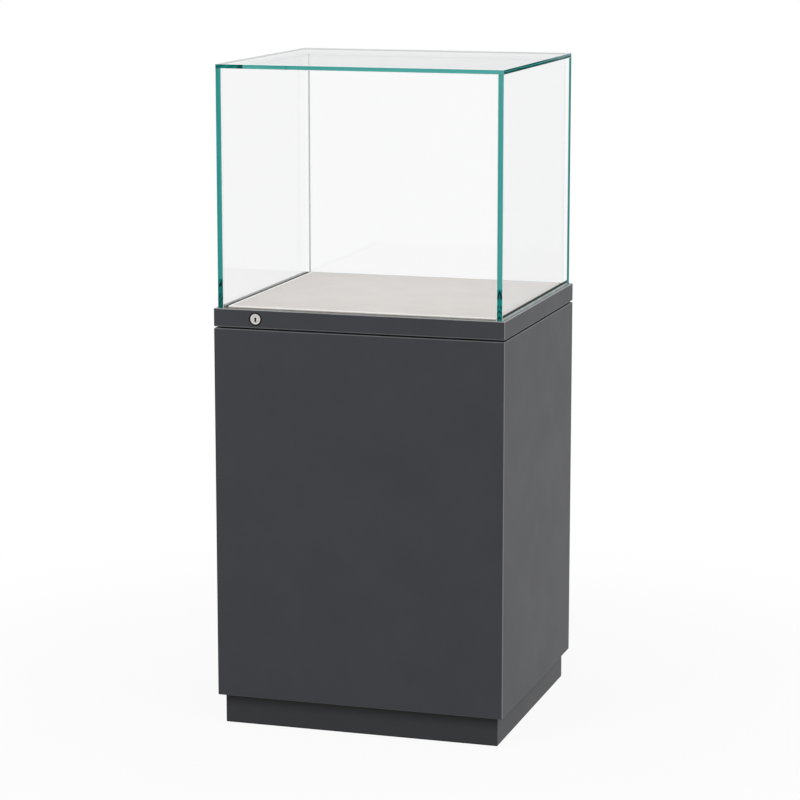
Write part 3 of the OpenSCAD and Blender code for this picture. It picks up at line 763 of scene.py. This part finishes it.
def add_object(name, data, materials=(), **settings):
    """Puts a mesh, a lamp or a camera into the scene."""
    for material in materials:
        data.materials.append(material)
    obj = settle(bpy.data.objects.new(name, data), **settings)
    bpy.context.scene.collection.objects.link(obj)
    return obj


def raw_object(name, verts, faces, materials):
    mesh = bpy.data.meshes.new(name)
    mesh.from_pydata([tuple(v) for v in verts], [], faces)
    return add_object(name, mesh, materials)


def face_outwards(obj):
    made = bmesh.new()
    made.from_mesh(obj.data)
    bmesh.ops.recalc_face_normals(made, faces=made.faces)
    made.to_mesh(obj.data)
    made.free()


def shade(obj):
    """Smooth shading that keeps sharp edges sharp and flat faces flat."""
    face_outwards(obj)
    obj.data.shade_smooth()
    obj.data.set_sharp_from_angle(angle=SHARP)
    obj.modifiers.new("flat faces", "WEIGHTED_NORMAL").keep_sharp = True


def dress(obj, body, slot, *nodes):
    """Puts a finished piece on its body, in place of the nodes that it stands for, which it hides. slot is
    not used.
    """
    shade(obj)
    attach(obj, body)
    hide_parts(*nodes)


def finish_faces(obj, choose):
    """Gives each face the material that choose(its normal, its middle) returns, if it returns one."""
    face_outwards(obj)
    for polygon in obj.data.polygons:
        material = choose(polygon.normal, polygon.center)
        if material is None:
            continue
        if material.name not in obj.data.materials:
            obj.data.materials.append(material)
        polygon.material_index = obj.data.materials.find(material.name)
    return obj


def cut(obj, *cutters):
    """Takes the cutters out of obj. The cut faces keep the cutters' own materials."""
    face_outwards(obj)
    for cutter in cutters:
        face_outwards(cutter)
        change = obj.modifiers.new("cut", "BOOLEAN")
        settle(change, object=cutter, operation="DIFFERENCE", solver="EXACT", material_mode="TRANSFER")
        bpy.context.view_layer.update()
        changed = obj.evaluated_get(bpy.context.evaluated_depsgraph_get())
        mesh = bpy.data.meshes.new_from_object(changed)
        obj.modifiers.clear()
        obj.data = mesh
        bpy.data.objects.remove(cutter)
    return obj


def join(name, pieces):
    """One object from several, with their materials."""
    verts, faces, slots, materials = [], [], [], []
    for piece in pieces:
        first = len(verts)
        verts += [piece.matrix_world @ v.co for v in piece.data.vertices]
        for polygon in piece.data.polygons:
            material = piece.data.materials[polygon.material_index]
            if material not in materials:
                materials.append(material)
            slots.append(materials.index(material))
            faces.append([first + i for i in polygon.vertices])
    joined = raw_object(name, verts, faces, materials)
    for polygon, slot in zip(joined.data.polygons, slots):
        polygon.material_index = slot
    for piece in pieces:
        bpy.data.objects.remove(piece)
    return joined


def bevel(made, edges, radius, steps):
    bmesh.ops.bevel(made, geom=edges, offset=radius, segments=steps, profile=0.5, affect="EDGES")


def slab(name, low, high, material, radius=0.0, steps=3, upright=0.0):
    """Box from corner low to corner high. upright rounds its vertical edges, radius then all others."""
    made = bmesh.new()
    size = Vector(high) - Vector(low)
    middle = (Vector(high) + Vector(low)) / 2
    bmesh.ops.create_cube(made, size=1, matrix=Matrix.LocRotScale(middle, None, size))

    def stands(edge):
        return abs(edge.verts[0].co.z - edge.verts[1].co.z) > size.z / 2

    edges = list(made.edges)
    if upright:
        bevel(made, [edge for edge in made.edges if stands(edge)], upright, 2 * steps)
        edges = [edge for edge in made.edges if not stands(edge) and edge.calc_face_angle(0) > SHARP]
    if radius:
        bevel(made, edges, radius, steps)
    mesh = bpy.data.meshes.new(name)
    made.to_mesh(mesh)
    made.free()
    return add_object(name, mesh, [material])


def corner(before, here, after, radius, steps):
    """Arc that rounds the corner at here, or just that point for no radius or a straight run."""
    back, on = (before - here).normalized(), (after - here).normalized()
    half = back.angle(on) / 2
    if radius <= 0 or half > math.radians(89):
        return [here]
    reach = radius / math.tan(half)
    middle = here + (back + on).normalized() * radius / math.sin(half)
    start, end = here + back * reach - middle, here + on * reach - middle
    turn = start.angle_signed(end)
    return [middle + Matrix.Rotation(-turn * i / steps, 2) @ start for i in range(steps + 1)]


def rounded(points, radii, steps=4):
    """Closed outline with a round corner of its own radius at each point."""
    points = [Vector(point) for point in points]
    outline = []
    for i, radius in enumerate(radii):
        outline += corner(points[i - 1], points[i], points[(i + 1) % len(points)], radius, steps)
    return outline


def folded(path):
    """Closed outline of the sheet whose middle follows path, a line of (u, z) points, with round folds."""
    points = [Vector(point) for point in path]
    line = points[:1]
    for before, here, after in zip(points, points[1:], points[2:]):
        line += corner(before, here, after, FOLD_R + SHEET / 2, FOLD_STEPS)
    line += points[-1:]
    left, right = [], []
    for i, point in enumerate(line):
        ahead = (line[min(i + 1, len(line) - 1)] - line[max(i - 1, 0)]).normalized()
        side = Vector((-ahead.y, ahead.x)) * SHEET / 2
        left.append(point + side)
        right.append(point - side)
    return left + right[::-1]


def plan_loop(u):
    """The case's plan at distance u inwards, anticlockwise from the back left corner."""
    radius = max(CORNER_R - u, TINY_R)
    loop = []
    for quarter, (sx, sy) in enumerate([(-1, 1), (-1, -1), (1, -1), (1, 1)]):
        middle = Vector((sx * (HALF_W - u - radius), sy * (HALF_D - u - radius)))
        for i in range(CORNER_STEPS + 1):
            angle = math.radians(90) * (quarter + 1 + i / CORNER_STEPS)
            loop.append(middle + radius * Vector((math.cos(angle), math.sin(angle))))
    return loop


def strip(first, second, size):
    """Faces between two closed loops of size points, from the numbers of their first points."""
    pairs = [(i, (i + 1) % size) for i in range(size)]
    return [(first + i, first + j, second + j, second + i) for i, j in pairs]


def swept(name, outline, material, first=0, last=None):
    """Carries an outline of (u, z) points all round the plan, or from its point first to its point last."""
    closed = last is None
    stops = [i % LOOP_POINTS for i in range(first, LOOP_POINTS if closed else last + 1)]
    loops = [plan_loop(u) for u, z in outline]
    verts = [(*loop[stop], z) for stop in stops for loop, (u, z) in zip(loops, outline)]
    size = len(outline)
    faces = []
    for i in range(len(stops) if closed else len(stops) - 1):
        faces += strip(i * size, (i + 1) % len(stops) * size, size)
    if not closed:
        faces += [tuple(range(size)), tuple(range(len(verts) - size, len(verts)))]
    return raw_object(name, verts, faces, [material])


def turned(name, profile, middle, axis, material, steps=64):
    """Turns a line of (radius, height) points about an axis through middle."""
    spin = Vector((0, 0, 1)).rotation_difference(Vector(axis)).to_matrix()
    rings, verts, faces = [], [], []
    for radius, height in profile:
        count = 1 if radius == 0 else steps
        rings.append(range(len(verts), len(verts) + count))
        for i in range(count):
            angle = 2 * math.pi * i / steps
            local = Vector((radius * math.cos(angle), radius * math.sin(angle), height))
            verts.append(Vector(middle) + spin @ local)
    pairs = list(zip(rings, rings[1:]))
    if profile[0][0] and profile[-1][0]:
        pairs.append((rings[-1], rings[0]))
    for a, b in pairs:
        for i in range(steps):
            j = i + 1
            face = list(dict.fromkeys([a[i % len(a)], a[j % len(a)], b[j % len(b)], b[i % len(b)]]))
            if len(face) > 2:
                faces.append(face)
    return raw_object(name, verts, faces, [material])


def rod(radius, low, high):
    """Profile of a plain round rod between two heights."""
    return [(0, low), (radius, low), (radius, high), (0, high)]


# ---- Sheet-metal pieces ----

def corner_coat(normal):
    """Painted light on an upright corner: a painted highlight on the front right one, and painted shade on
    the others.
    """
    if abs(normal.x) > LEAN and abs(normal.y) > LEAN:
        return COAT_PAINTED_CORNER_HIGHLIGHT if normal.x > 2 * LEAN and normal.y < 0 else COAT_PAINTED_CORNER_SHADE
    return None


def plinth_faces(normal, at):
    """Painted contact shadow on the rounding under the plinth."""
    return COAT_PAINTED_CONTACT_SHADOW if normal.z < -0.05 and at.z < 2 * SHEET else None


def body_faces(normal, at):
    """Painted highlights on the roundings at the body's top and its front right corner, a faint painted
    highlight at its foot.
    """
    if normal.z > LEAN and at.z > BODY_HI.z - 2 * BODY_EDGE_R:
        return COAT_PAINTED_TOP_HIGHLIGHT
    if normal.z < -LEAN:
        return COAT_PAINTED_FOOT_HIGHLIGHT
    return corner_coat(normal)


def frame_faces(normal, at):
    """Painted sheen on the rim, and a painted highlight on the outer roundings below."""
    if normal.z > 0.35 and at.z > RIM_Z - 2 * SHEET:
        return COAT_PAINTED_RIM_SHEEN
    if -0.75 < normal.z < -0.1 and at.z < BAND_LO.z + 2 * SHEET:
        return COAT_PAINTED_LOW_HIGHLIGHT
    return corner_coat(normal)


def build_plinth():
    half = SHEET / 2
    near, far, top = PLINTH_U + half, PLINTH_U + PLINTH_FLANGE_W, PLINTH_HI.z - half
    outline = folded([(far, half), (near, half), (near, top), (far, top)])
    ring = finish_faces(swept("plinth", outline, MATERIALS["plinth_coat"]), plinth_faces)
    dress(ring, "pedestal", "plinth_coat", *PLINTH_NODES)


def build_body():
    """One sheet wraps the front and the sides, and the rear wall with the access opening closes it."""
    coat = MATERIALS["body_coat"]
    edges = [(0, BODY_LO.z), (0, BODY_HI.z), (SHEET, BODY_HI.z), (SHEET, BODY_LO.z)]
    outline = rounded(edges, [BODY_EDGE_R, BODY_EDGE_R, TINY_R, TINY_R])
    start = CORNER_STEPS // 2
    end = LOOP_POINTS - 1 - start
    wrap = finish_faces(swept("body_wrap", outline, coat, start, end), body_faces)
    dress(wrap, "pedestal", "body_coat", "body_front", "body_left", "body_right")
    rear = finish_faces(swept("body_rear_wall", outline, coat, end, LOOP_POINTS + start), body_faces)
    low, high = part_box("access_panel")
    gap = Vector((PANEL_GAP, SHEET, PANEL_GAP))
    cut(rear, slab("opening", low - gap, high + gap, coat))
    dress(rear, "pedestal", "body_coat", "body_rear")


def screw(middle, axis, head_r, material):
    """Countersunk screw with its shank, and a hexagon socket in its flush head."""
    shank_r, length = SCREW_SHANK * head_r, SCREW_LENGTH * head_r
    end = -length - SCREW_RIM
    profile = [(0, 0), (head_r - SCREW_RIM, 0), (head_r, -SCREW_RIM), (shank_r, shank_r - head_r - SCREW_RIM),
               (shank_r, -length), (0.7 * shank_r, end), (0, end)]
    socket_r = SOCKET_R * head_r
    hexagon = [(0, PAST), (socket_r, PAST), (socket_r, -SOCKET_WALL * head_r), (0, -SOCKET_TIP * head_r)]
    body = turned("screw", profile, middle, axis, material, 48)
    return cut(body, turned("socket", hexagon, middle, axis, MATERIALS["black_screws"], 6))


def build_access():
    coat, black = MATERIALS["body_coat"], MATERIALS["black_screws"]
    low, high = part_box("access_panel")
    cover = slab("access_cover", low, high, coat, PANEL_EDGE_R, 2)
    lo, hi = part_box("access_screws")
    head_r, hole_r = PANEL_HEAD_R, PANEL_HEAD_R / 2 + HOLE
    cone = [(0, PAST), (head_r + PAST + HOLE, PAST), (hole_r, -head_r / 2), (hole_r, -PANEL_HOLE_DEPTH),
            (0, -PANEL_HOLE_DEPTH)]
    screws = []
    for x in (lo.x + head_r, hi.x - head_r):
        for z in (lo.z + head_r, (lo.z + hi.z) / 2, hi.z - head_r):
            middle = (x, high.y, z)
            cut(cover, turned("cone", cone, middle, BACKWARDS, coat, 32))
            screws.append(screw(middle, BACKWARDS, head_r, black))
    dress(cover, "pedestal", "body_coat", "access_panel")
    dress(join("cover_screws", screws), "pedestal", "black_screws", "access_screws")


def build_hood_frame():
    """Foot flange, outer wall, rim, rebate for the glass and inner wall, folded from one sheet."""
    half = SHEET / 2
    low, rim, seat = BAND_LO.z + half, RIM_Z - half, SEAT_Z - half
    lip, inner = GLASS_U - GLAZING_GAP - half, RAIL_U - half
    path = [(RETURN_W, low), (half, low), (half, rim), (lip, rim), (lip, seat), (inner, seat),
            (inner, BAND_LO.z)]
    ring = finish_faces(swept("hood_frame", folded(path), MATERIALS["frame_coat"]), frame_faces)
    hole = rod(COLLAR_R + HOLE, 0, 2 * SHEET)
    at = (LOCK_X, -HALF_D - SHEET, LOCK_Z)
    cut(ring, turned("hole", hole, at, BACKWARDS, MATERIALS["frame_coat"]))
    dress(ring, "hood", "frame_coat", *RAIL_NODES)


# ---- Panes ----

def build_pane(name, faces):
    """A pane with ground arrises. faces gives the materials of faces that aren't clear glass, such as
    "z-", and of arrises that aren't ground, such as "y-z-"."""
    low, high = (point.copy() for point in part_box(name))
    if name in ("pane_front", "pane_back"):
        low.x += BOND_GAP
        high.x -= BOND_GAP
    if name != "pane_top":
        high.z -= BOND_GAP

    def choose(normal, at):
        sides = [axis + ("+" if part > 0 else "-") for axis, part in zip("xyz", normal) if abs(part) > 0.3]
        if len(sides) == 1:
            return faces.get(sides[0])
        if len(sides) == 3:
            return faces.get(sides[1], ARRIS_GROUND)
        return faces.get("".join(sides), ARRIS_GROUND)

    pane = slab(name + "_glass", low, high, MATERIALS["clear_glass"], ARRIS, 1)
    dress(finish_faces(pane, choose), "hood", "clear_glass", name)


def build_glass():
    ends = {"x-": BOND_CLEAR, "x+": BOND_CLEAR, "z+": BOND_CLEAR, "z-": GLASS_FOOT}
    build_pane("pane_front", {**ends, "y-": OUTER_FRONT_GLASS})
    build_pane("pane_back", {**ends, "x-": BOND_LINE, "y+": OUTER_FRONT_GLASS})
    for name, outer, edge in (("pane_left", "x-", EDGE_LEFT), ("pane_right", "x+", EDGE_RIGHT)):
        edges = {key: edge for key in ("y-", "y+", "y-z+", "y+z+")}
        build_pane(name, {"z+": BOND_CLEAR, "z-": GLASS_FOOT, outer: OUTER_SIDE_GLASS, **edges})
    across = {key: EDGE_FRONT for key in ("y-", "y+", "x-y-", "x-y+", "x+y-", "x+y+")}
    sides = {key: EDGE_SIDE for key in ("x-", "x+", "x-z-", "x+z-")}
    build_pane("pane_top", {**across, **sides, "y-z-": ARRIS_BELOW_TOP, "y+z-": ARRIS_BELOW_TOP})


# ---- Deck ----

def deck_faces(normal, at):
    """Painted highlight on the rounded upper edge, and painted shade on the sides and the right edge."""
    if abs(normal.z) < 0.3 or (normal.x > 0.3 and normal.z < 0.9):
        return DECK_PAINTED_SHADE
    if 0.3 <= normal.z < 0.98:
        return DECK_PAINTED_HIGHLIGHT
    return None


def build_deck():
    board = slab("deck_top", DECK_LO, DECK_HI, MATERIALS["deck_paint"], DECK_EDGE_R, 6, DECK_CORNER_R)
    dress(finish_faces(board, deck_faces), "deck", "deck_paint", "deck_board")


# ---- Lock. Its profiles are (radius, depth behind the front) points ----

def build_lock_collar():
    bore = FACE_R + HOLE
    profile = [(bore, LOCK_SOFT), (bore + LOCK_SOFT, 0.02 * MM), (COLLAR_R - LOCK_SOFT, 0),
               (COLLAR_R, LOCK_SOFT), (COLLAR_R, COLLAR_T), (bore, COLLAR_T)]
    collar = turned("lock_bezel", profile, LOCK_FRONT, BACKWARDS, MATERIALS["lock_black"])
    dress(collar, "hood", "lock_black", "lock_collar")


def build_lock_barrel():
    """Domed face with a ring groove round the plug's bore, and the tube behind it."""
    bore, groove = PLUG_R + BARREL_CLEAR, GROOVE_AT * FACE_R
    end = BARREL_HI.y - BARREL_LO.y
    profile = [(bore, 0.6 * MM), (bore + 0.5 * MM, 0.05 * MM), (groove - GROOVE_W, 0.02 * MM),
               (groove, GROOVE_DEPTH), (groove + GROOVE_W, 0.03 * MM), (0.9 * FACE_R, 0.03 * MM),
               (FACE_R - 0.3 * MM, 0.12 * MM), (FACE_R, 0.5 * MM), (FACE_R, COLLAR_T),
               (BARREL_TUBE_R, COLLAR_T), (BARREL_TUBE_R, end), (bore, end)]
    barrel = turned("lock_cylinder", profile, LOCK_FRONT, BACKWARDS, MATERIALS["nickel"])
    dress(barrel, "hood", "nickel", "lock_barrel")


def keyhole():
    """Cutters of a round hole and the slot that widens downwards from it."""
    dark = MATERIALS["lock_black"]
    hole_z, foot_z = LOCK_Z + KEY_HOLE_UP, LOCK_Z - KEY_FOOT_DOWN
    at = (LOCK_X, PLUG_LO.y, hole_z)
    hole = turned("hole", rod(KEY_HOLE_R, -PAST, KEY_DEPTH), at, BACKWARDS, dark, 32)
    top, foot = KEY_SLOT_W / 2, KEY_FOOT_W / 2
    outline = [(-foot, foot_z), (foot, foot_z), (top, hole_z), (-top, hole_z)]
    verts = [(LOCK_X + x, PLUG_LO.y + y, z) for y in (-PAST, KEY_DEPTH) for x, z in outline]
    slot = raw_object("slot", verts, [(0, 1, 2, 3), (7, 6, 5, 4)] + strip(0, 4, 4), [dark])
    return hole, slot


def build_lock_plug():
    """Round plug with the keyhole, and the square behind it that carries the cam."""
    depth = PLUG_HI.y - PLUG_LO.y - CAM_T
    profile = [(0, 0), (PLUG_R - LOCK_SOFT, 0), (PLUG_R, LOCK_SOFT), (PLUG_R, depth), (0, depth)]
    plug = turned("lock_core", profile, (LOCK_X, PLUG_LO.y, LOCK_Z), BACKWARDS, MATERIALS["nickel"])
    cut(plug, *keyhole())
    half = SQUARE_W / 2
    low = (LOCK_X - half, PLUG_LO.y + depth, LOCK_Z - half)
    high = (LOCK_X + half, PLUG_HI.y, LOCK_Z + half)
    square = slab("square", low, high, MATERIALS["nickel"], SQUARE_EDGE_R, 1)
    dress(join("lock_core_turning", [plug, square]), "lock", "nickel", "lock_plug")


# ---- Under the hood ----

def square_tube(low, high, axis):
    """Square tube along an axis, with round edges and open ends."""
    a, b = [i for i in range(3) if i != axis]
    rings = []
    for inset, radius in ((0, RISER_R), (RISER_WALL, RISER_R - RISER_WALL)):
        a0, a1, b0, b1 = low[a] + inset, high[a] - inset, low[b] + inset, high[b] - inset
        rings.append(rounded([(a0, b0), (a1, b0), (a1, b1), (a0, b1)], [radius] * 4))
    verts = []
    for end in (low[axis], high[axis]):
        for point in rings[0] + rings[1]:
            vert = [end, end, end]
            vert[a], vert[b] = point
            verts.append(vert)
    size = len(rings[0])
    outer, inner, outer_end, inner_end = [size * i for i in range(4)]
    walls = ((outer, outer_end), (inner_end, inner), (inner, outer), (outer_end, inner_end))
    faces = [face for first, second in walls for face in strip(first, second, size)]
    return raw_object("tube", verts, faces, [MATERIALS["inner_steel"]])


def build_riser():
    lo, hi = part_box("deck_riser")
    near, far = lo.y + RISER_W + WELD_GAP, hi.y - RISER_W - WELD_GAP
    tubes = [square_tube((lo.x, y, lo.z), (hi.x, y + RISER_W, hi.z), 0) for y in (lo.y, hi.y - RISER_W)]
    tubes += [square_tube((x, near, lo.z), (x + RISER_W, far, hi.z), 1) for x in (lo.x, hi.x - RISER_W)]
    dress(join("riser_tubes", tubes), "pedestal", "inner_steel", "deck_riser")


def build_seal():
    """Dust seal with a flat foot and a round top."""
    lo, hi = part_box("dust_seal")
    near, far = HALF_W - hi.x, HALF_W - hi.x + SEAL_W
    points = [(near, lo.z), (far, lo.z), (far, hi.z), (near, hi.z)]
    outline = rounded(points, [TINY_R, TINY_R, SEAL_R, SEAL_R], 5)
    dress(swept("bulb_seal", outline, MATERIALS["seal_rubber"]), "pedestal", "seal_rubber", "dust_seal")


def build_keeper_screws():
    lo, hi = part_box("keeper_screws")
    screws = [screw((x, (lo.y + hi.y) / 2, hi.z), (0, 0, 1), KEEPER_HEAD_R, MATERIALS["bare_steel"])
              for x in (lo.x + KEEPER_HEAD_R, hi.x - KEEPER_HEAD_R)]
    dress(join("socket_screws", screws), "pedestal", "bare_steel", "keeper_screws")


def dress_nodes():
    """The nodes that stay get their finish, and a fine bevel where they are plain blocks."""
    slots = {part["node"]: part["material_slot"] for part in frame["record"]["subparts"]}
    plain = ("hood_pads", "deck_cleats", "keeper_plate", "lock_plate", "lock_clip", "pin_guides", "lock_cam")
    for name, obj in frame["nodes"].items():
        obj.data.materials.clear()
        obj.data.materials.append(MATERIALS[slots[name]])
        if name in plain:
            settle(obj.modifiers.new("fine bevel", "BEVEL"), width=NODE_BEVEL, segments=2,
                   limit_method="ANGLE", angle_limit=NODE_BEVEL_ANGLE)


# ---- Floor, light and camera ----

def plainly_seen(look):
    """1 for what the camera sees straight, in gloss or through glass, and 0 for all other light."""
    rays = node(look, "LightPath").outputs
    seen = math_node(look, "MAXIMUM", rays["Is Camera Ray"], rays["Is Glossy Ray"])
    return math_node(look, "MAXIMUM", seen, rays["Is Transmission Ray"])


def build_floor():
    """Pale floor. The camera sees it white, with the object's soft shadow kept near the object, and sees
    through it from below."""
    look = new_look("studio_floor")
    distance = node(look, "VectorMath", {0: place(look)}, operation="LENGTH").outputs["Value"]
    colour = blend(look, noise(look, 3), grey(0.62), grey(0.64))
    matt = node(look, "BsdfDiffuse", {"Color": colour}).outputs[0]
    white = node(look, "Emission", {"Color": WHITE, "Strength": 1.0}).outputs[0]
    share = product(look, plainly_seen(look), fade(look, distance, *FLOOR_FADE, FLOOR_WHITE, 1.0))
    from_above = mix_shaders(look, share, matt, white)
    below = node(look, "NewGeometry").outputs["Backfacing"]
    surface(look, mix_shaders(look, below, from_above, see_through(look)))
    verts = [(x * FLOOR_HALF, y * FLOOR_HALF, 0) for x, y in ((-1, -1), (1, -1), (1, 1), (-1, 1))]
    floor = raw_object("studio_floor", verts, [(0, 1, 2, 3)], [look])


def build_world():
    """White for what the camera, mirrors and glass see, and a plain grey light for everything else."""
    world = new_look("studio", bpy.data.worlds)
    bpy.context.scene.world = world
    dim, white = [node(world, "Background", {"Color": WHITE, "Strength": strength}).outputs[0]
                  for strength in (AMBIENT, 1.0)]
    both = mix_shaders(world, plainly_seen(world), dim, white)
    node(world, "OutputWorld", {"Surface": both})


def build_lamps():
    """Square lamps. Glass and gloss don't mirror them, but the plain white all round."""
    for name, at, towards, size, power in LAMPS:
        data = settle(bpy.data.lights.new(name, "AREA"), shape="SQUARE", size=size, energy=power)
        turn = (Vector(towards) - Vector(at)).to_track_quat("-Z", "Y").to_euler()
        add_object(name, data, location=at, rotation_euler=turn, visible_glossy=False)


def build_camera():
    data = bpy.data.cameras.new("camera")
    settle(data, sensor_width=CAMERA_SENSOR, lens=CAMERA_LENS, clip_end=CAMERA_REACH)
    turn = (math.radians(90) - CAMERA_DOWN, 0, CAMERA_TURN)
    bpy.context.scene.camera = add_object("camera", data, location=CAMERA_AT, rotation_euler=turn)


bpy.context.scene.view_settings.view_transform = "Standard"
dress_nodes()
build_plinth()
build_body()
build_access()
build_hood_frame()
build_glass()
build_deck()
build_lock_collar()
build_lock_barrel()
build_lock_plug()
build_riser()
build_seal()
build_keeper_screws()
build_floor()
build_world()
build_lamps()
build_camera()
